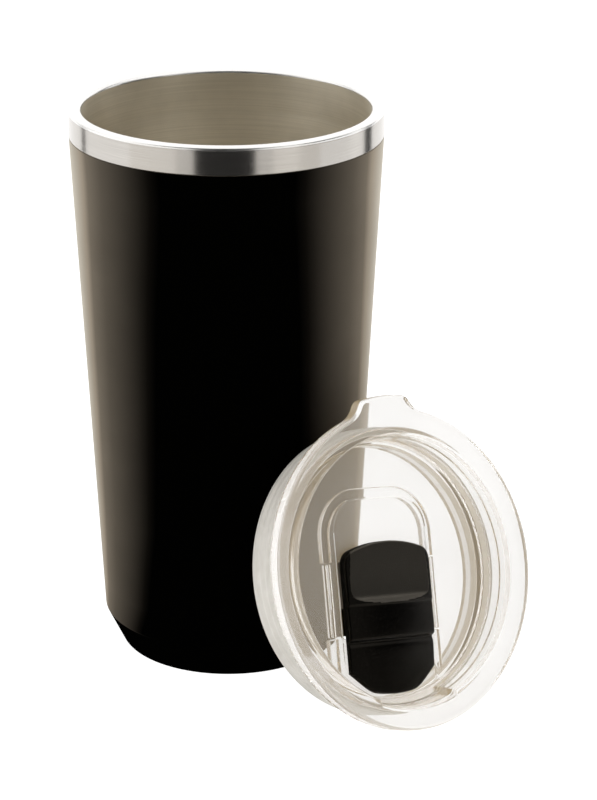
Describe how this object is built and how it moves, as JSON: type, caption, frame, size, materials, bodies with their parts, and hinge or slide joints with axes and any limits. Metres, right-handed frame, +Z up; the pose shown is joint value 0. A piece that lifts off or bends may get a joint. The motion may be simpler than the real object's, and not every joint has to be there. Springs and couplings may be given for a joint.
{
  "type": "insulated tumbler with slider lid",
  "caption": "Tapered vacuum-insulated tumbler with a bare metal lip and a clear plug-in lid leaning on it; the lid's slider opens a drinking hole.",
  "frame": {"origin": "centre of the cup's foot, on the surface it stands on", "axes": "+Z up along the cup's axis; -Y is the side the lid leans on; +X to the right when facing the lid"},
  "size_m": [0.0945, 0.1374, 0.1637],
  "materials": {
    "liner_steel": "satin",
    "brushed_steel": "brushed",
    "black_coat": "fine powder texture",
    "base_steel": "satin",
    "seal_bead": "dull",
    "getter_alloy": "matt",
    "clear_plastic": "clear, polished",
    "clear_silicone": "satin, translucent",
    "black_plastic": "satin"
  },
  "bodies": {
    "tumbler": {"inner_liner": "liner_steel", "outer_shell": "brushed_steel", "powder_coat": "black_coat", "base_cap": "base_steel", "vacuum_seal": "seal_bead", "getter": "getter_alloy"},
    "lid": {"lid_body": "clear_plastic", "lid_gasket": "clear_silicone"},
    "slider": {"slider": "black_plastic"}
  },
  "joints": [
    {"name": "lid_lift", "type": "slide", "parent": "tumbler", "child": "lid", "axis": [0, -0.9239, 0.3827], "range_m": [0, 0.08]},
    {"name": "slider_open", "type": "slide", "parent": "lid", "child": "slider", "axis": [0.1994, 0.375, 0.9053], "range_m": [0, 0.0115]}
  ]
}
